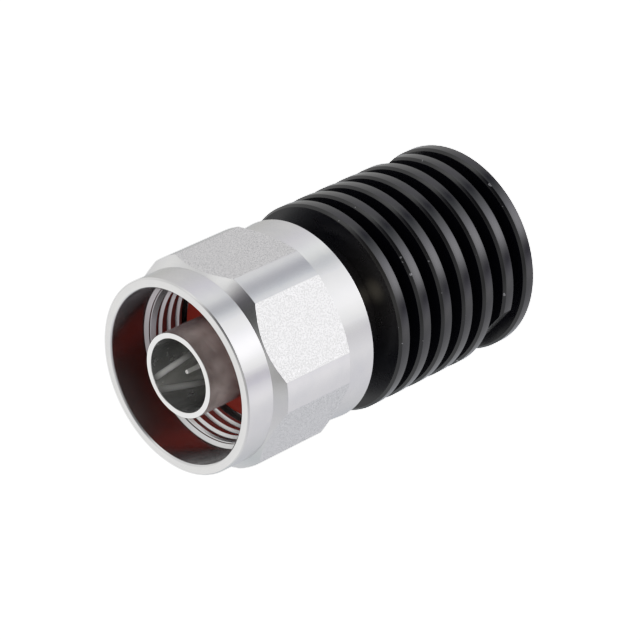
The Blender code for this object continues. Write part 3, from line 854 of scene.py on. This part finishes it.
@dataclass
class PlugFront:
    """What the nut's mouth shows: body, outer contact, pin and gasket."""

    steps: int = 192

    def body(self) -> bpy.types.Object:
        """Turn the plug's body, bored through."""
        corners: list[Corner] = [
            (4.3, 13.3, 0.0), (5.0, 13.3, 0.05), (5.0, 20.5, 0.0), (6.7, 20.5, 0.05), (6.9, 20.7, 0.05),
            (6.9, 23.55, 0.03), (6.2, 23.55, 0.0), (6.2, 24.85, 0.0), (6.9, 24.85, 0.03),
            (6.9, 27.0, 0.05), (6.7, 27.2, 0.05), (5.1, 27.2, 0.03), (5.1, 24.2, 0.0),
            (4.0, 24.2, 0.0), (4.0, 21.2, 0.0), (4.3, 21.2, 0.0),
        ]
        return turned("plug_body_fine", corners, Seal.RING, self.steps)

    def contact(self) -> bpy.types.Object:
        """Turn the outer contact, a thin tube with a flange."""
        corners: list[Corner] = [
            (3.5, 24.5, 0.0), (4.8, 24.5, 0.03), (4.8, 27.2, 0.03), (4.02, 27.2, 0.05),
            (4.02, 35.98, 0.03), (3.96, 36.04, 0.03), (3.56, 36.04, 0.03), (3.5, 35.98, 0.03),
        ]
        return turned("outer_contact_fine", corners, Seal.RING, self.steps)

    def pin(self) -> bpy.types.Object:
        """Turn the centre pin with its drawn-out tip."""
        corners: list[Corner] = [
            (0.0, 34.7, 0.0), (0.07, 34.93, 0.01), (0.12, 35.0, 0.02), (0.19, 34.93, 0.04), (0.24, 33.0, 0.3),
            (0.8, 31.4, 0.3), (0.8, 27.4, 0.05),
            (1.52, 27.4, 0.1), (1.52, 24.5, 0.05), (0.8, 24.5, 0.0), (0.8, 19.9, 0.1), (0.0, 19.9, 0.0),
        ]
        return turned("centre_pin_fine", corners, Seal.POLES, 64)

    def gasket(self) -> bpy.types.Object:
        """Turn the flat ring that seals the face."""
        corners: list[Corner] = [(4.32, 27.5, 0.12), (7.15, 27.5, 0.12), (7.15, 28.2, 0.2), (4.32, 28.2, 0.2)]
        return turned("face_gasket_fine", corners, Seal.RING, self.steps)


@dataclass
class InnerParts:
    """The frame's own pieces inside the load, which keep their shape and get finishes."""

    bronze: PlainMetal = PlainMetal("spring_bronze", (0.62, 0.40, 0.22, 1.0), 0.28)
    brass: PlainMetal = PlainMetal("turned_brass", (0.78, 0.60, 0.30, 1.0), 0.25)
    steel: PlainMetal = PlainMetal("cap_steel", (0.50, 0.50, 0.52, 1.0), 0.3)
    ptfe: PlainSolid = PlainSolid("ptfe", (0.82, 0.82, 0.79, 1.0), 0.45)
    ceramic: PlainSolid = PlainSolid("resistor_film", (0.10, 0.085, 0.07, 1.0), 0.55)
    rubber: Silicone = Silicone("black_rubber", (0.02, 0.02, 0.02, 1.0), 0.55)

    def dress(self, nodes: dict[str, bpy.types.Object]) -> None:
        """Put a finish in the material slots of each inner node.

        Args:
            nodes: the frame's nodes by name.
        """
        finishes = {
            self.bronze: ("contact_bullet", "nut_retaining_ring", "ground_finger_ring"),
            self.brass: ("taper_sleeve",),
            self.steel: ("resistor_front_cap", "resistor_rear_cap", "wave_washer"),
            self.ptfe: ("front_insulator", "resistor_support_bead"),
            self.ceramic: ("resistor_rod",),
            self.rubber: ("body_seal",),
        }
        for finish, names in finishes.items():
            material = finish.material()
            for name in names:
                for slot in nodes[name].material_slots:
                    slot.material = material
                LOG.info("%s: %s", name, finish.name)


@dataclass(frozen=True)
class Lobe:
    """A soft patch of light or dark in the studio: rightward, upward and toward the camera."""

    toward: tuple[float, float, float]
    sharpness: float
    colour: tuple[float, float, float]


@dataclass
class Studio:
    """Camera, white floor and the soft lights round the part."""

    lens: float = 194.9
    eye: tuple[float, float, float] = (236.579, -61.240, 218.897)
    right: tuple[float, float, float] = (0.44866, -0.55729, -0.69867)
    up: tuple[float, float, float] = (0.48667, 0.80804, -0.33201)
    back: tuple[float, float, float] = (0.74957, -0.19106, 0.63375)
    base: float = 0.9
    shoulder: tuple[Point, ...] = (
        (0.0, 0.0), (0.6, 0.6), (0.8, 0.735), (1.0, 0.785), (1.4, 0.85), (1.7, 0.92), (2.0, 1.0),
    )
    lobes: tuple[Lobe, ...] = (
        # The dim room behind the camera
        Lobe((-0.17, 0.31, 0.94), 6.0, (-0.85, -0.85, -0.85)),
        Lobe((0.20, -0.84, 0.50), 6.0, (-0.14, -0.14, -0.10)),
        Lobe((0.13, -0.59, 0.79), 40.0, (-0.33, -0.33, -0.36)),
        Lobe((0.16, -0.77, 0.61), 110.0, (0.17, 0.18, 0.13)),
        Lobe((-0.28, 0.49, 0.82), 110.0, (-0.16, -0.17, -0.14)),
        Lobe((-0.43, 0.52, 0.74), 110.0, (-0.27, -0.28, -0.24)),
        # The key softbox on the right, with its bright middle
        Lobe((0.82, 0.55, 0.18), 15.0, (0.53, 0.54, 0.66)),
        Lobe((0.85, 0.47, 0.22), 15.0, (0.53, 0.54, 0.51)),
        Lobe((0.89, 0.43, 0.15), 40.0, (0.58, 0.56, 0.59)),
        Lobe((0.91, 0.36, 0.19), 40.0, (0.52, 0.52, 0.45)),
        Lobe((0.94, 0.31, 0.12), 40.0, (0.57, 0.55, 0.57)),
        Lobe((0.85, 0.51, 0.11), 40.0, (0.60, 0.57, 0.74)),
        Lobe((0.94, 0.31, 0.12), 110.0, (0.52, 0.52, 0.57)),
        Lobe((0.96, 0.23, 0.17), 110.0, (0.54, 0.52, 0.63)),
        # The flags beside the key
        Lobe((1.00, 0.00, 0.00), 110.0, (-0.72, -0.74, -0.68)),
        Lobe((0.47, 0.88, -0.08), 110.0, (-0.81, -0.83, -0.75)),
        Lobe((0.56, 0.82, 0.07), 110.0, (-0.35, -0.31, -0.31)),
        # The low softbox under the key
        Lobe((0.88, -0.39, -0.26), 6.0, (0.12, 0.11, 0.18)),
        Lobe((0.94, -0.31, -0.12), 110.0, (0.41, 0.40, 0.36)),
        Lobe((0.98, -0.18, -0.09), 110.0, (0.17, 0.15, 0.26)),
        # The softbox overhead
        Lobe((0.30, 0.95, 0.02), 110.0, (0.52, 0.57, 0.48)),
        Lobe((0.22, 0.98, -0.03), 40.0, (0.24, 0.25, 0.28)),
        Lobe((0.20, 0.93, -0.32), 40.0, (-0.01, -0.03, 0.06)),
        # The softboxes and the wall on the left
        Lobe((-0.83, -0.49, -0.27), 6.0, (0.30, 0.30, 0.29)),
        Lobe((-0.90, -0.12, 0.41), 6.0, (0.17, 0.17, 0.17)),
        Lobe((-0.46, -0.89, 0.01), 15.0, (0.45, 0.45, 0.45)),
        Lobe((-0.68, 0.53, -0.51), 15.0, (0.24, 0.24, 0.23)),
        Lobe((-0.61, -0.25, 0.75), 40.0, (0.17, 0.17, 0.17)),
        Lobe((-0.71, -0.09, 0.70), 110.0, (0.14, 0.14, 0.14)),
        Lobe((-0.52, 0.65, 0.56), 40.0, (0.41, 0.41, 0.41)),
        Lobe((-0.59, 0.62, 0.52), 40.0, (0.39, 0.39, 0.39)),
        Lobe((-0.51, 0.58, 0.63), 110.0, (0.33, 0.34, 0.31)),
        # The dimmer far side
        Lobe((0.18, 0.01, -0.98), 6.0, (-0.35, -0.33, -0.28)),
        Lobe((-0.08, 0.62, -0.78), 15.0, (-0.08, -0.09, -0.09)),
        Lobe((-0.09, -0.82, -0.56), 15.0, (-0.20, -0.16, -0.14)),
        Lobe((-0.16, 0.39, -0.91), 40.0, (-0.08, -0.08, -0.12)),
    )

    def camera(self) -> None:
        """Set the camera where the photograph was taken from."""
        data = bpy.data.cameras.new("camera")
        data.lens = self.lens
        data.sensor_width = 36.0
        data.clip_start = 0.01
        data.clip_end = 10.0
        data.dof.use_dof = False
        camera = bpy.data.objects.new("camera", data)
        bpy.context.scene.collection.objects.link(camera)
        turn = Matrix((self.right, self.up, self.back)).transposed()
        camera.matrix_world = Matrix.Translation(Vector(self.eye) * MM) @ turn.to_4x4()
        bpy.context.scene.camera = camera

    def floor(self) -> None:
        """Lay a plain white floor, a hair below the part, that glossy rays look through."""
        select_none()
        bpy.ops.mesh.primitive_plane_add(size=6.0, location=(0, 0, -0.03 * MM))
        floor = bpy.context.object
        floor.name = "floor"
        material, bench = new_material("floor_white")
        bench.surface({
            "Base Color": (0.15, 0.15, 0.15, 1.0), "Roughness": 1.0, "Specular IOR Level": 0.0,
            "Emission Color": (1.0, 1.0, 1.0, 1.0), "Emission Strength": 2.0,
        })
        floor.data.materials.append(material)
        floor.visible_glossy = False
        floor.visible_diffuse = False

    def light(self) -> None:
        """Paint the studio's soft lights on the world, by direction."""
        world = bpy.data.worlds.new("studio")
        bpy.context.scene.world = world
        world.use_nodes = True
        bench = Bench(world.node_tree)
        toward = bench.node("ShaderNodeTexCoord").outputs["Generated"]
        turn = Matrix((self.right, self.up, self.back)).transposed()
        total: Any = (self.base,) * 3
        for lobe in self.lobes:
            aim = turn @ Vector(lobe.toward).normalized()
            dot = bench.node("ShaderNodeVectorMath", {"operation": "DOT_PRODUCT"}, {0: toward, 1: tuple(aim)})
            share = ((Signal(bench, dot.outputs["Value"]) - 1.0) * lobe.sharpness).exponent()
            values = {0: share, 1: lobe.colour, 2: total}
            total = bench.node("ShaderNodeVectorMath", {"operation": "MULTIPLY_ADD"}, values).outputs[0]
        lit = bench.node("ShaderNodeVectorMath", {"operation": "MAXIMUM"}, {0: total, 1: (0.02,) * 3})
        back = bench.node("ShaderNodeBackground", None, {"Color": lit.outputs[0], "Strength": 1.0})
        bench.node("ShaderNodeOutputWorld", None, {0: back.outputs[0]})

    def film(self) -> None:
        """Let the highlights roll off softly, as a camera does."""
        view = bpy.context.scene.view_settings
        view.view_transform = "Standard"
        view.use_curve_mapping = True
        curves = view.curve_mapping
        reach = self.shoulder[-1][0]
        curves.white_level = (reach,) * 3
        points = curves.curves[3].points
        for index, (bright, shown) in enumerate(self.shoulder):
            if index in (0, len(self.shoulder) - 1):
                point = points[0 if index == 0 else len(points) - 1]
                point.location = (bright / reach, shown)
            else:
                point = points.new(bright / reach, shown)
            point.handle_type = "VECTOR"
        curves.update()

    def build(self) -> None:
        """Set up camera, floor, light and film."""
        self.camera()
        self.floor()
        self.light()
        self.film()


def main() -> None:
    """Build the classes in order and report each piece."""
    logging.basicConfig(level=logging.INFO, format="%(name)s %(message)s")
    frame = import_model()
    nickel = TurnedNickel().material()
    milled = MilledNickel().material()
    black = BlackAnodise().material()
    black_wall = BlackAnodise("black_anodise_wall", (0.003, 0.003, 0.0055, 1.0), 1.4, 0.28, 0.0015).material()
    contact = ContactPlate().material()
    pin_plate = PlainMetal("pin_plate", (0.92, 0.91, 0.88, 1.0), 0.25, 0.4).material()
    red = Silicone("red_silicone", (0.50, 0.033, 0.015, 1.0), 0.4).material()

    sink = HeatSink()
    sink_piece = sink.build()
    dress(sink_piece, Body.LOAD, "anodised_aluminium", (black, black_wall), "heat_sink")
    sink.mark_walls(sink_piece)
    nut = CouplingNut()
    nut_piece = nut.build()
    dress(nut_piece, Body.NUT, "nickel_plate", (nickel, milled), "coupling_nut")
    nut.mark_flats(nut_piece)
    front = PlugFront()
    for piece, slot, material, node in (
            (front.body(), "nickel_plate", nickel, "plug_body"),
            (front.contact(), "contact_plate", contact, "outer_contact"),
            (front.pin(), "contact_plate", pin_plate, "centre_pin"),
            (front.gasket(), "red_silicone", red, "face_gasket")):
        smooth(piece)
        dress(piece, Body.LOAD, slot, (material,), node)
    InnerParts().dress(frame["nodes"])
    Studio().build()


if __name__ == "__main__":
    main()
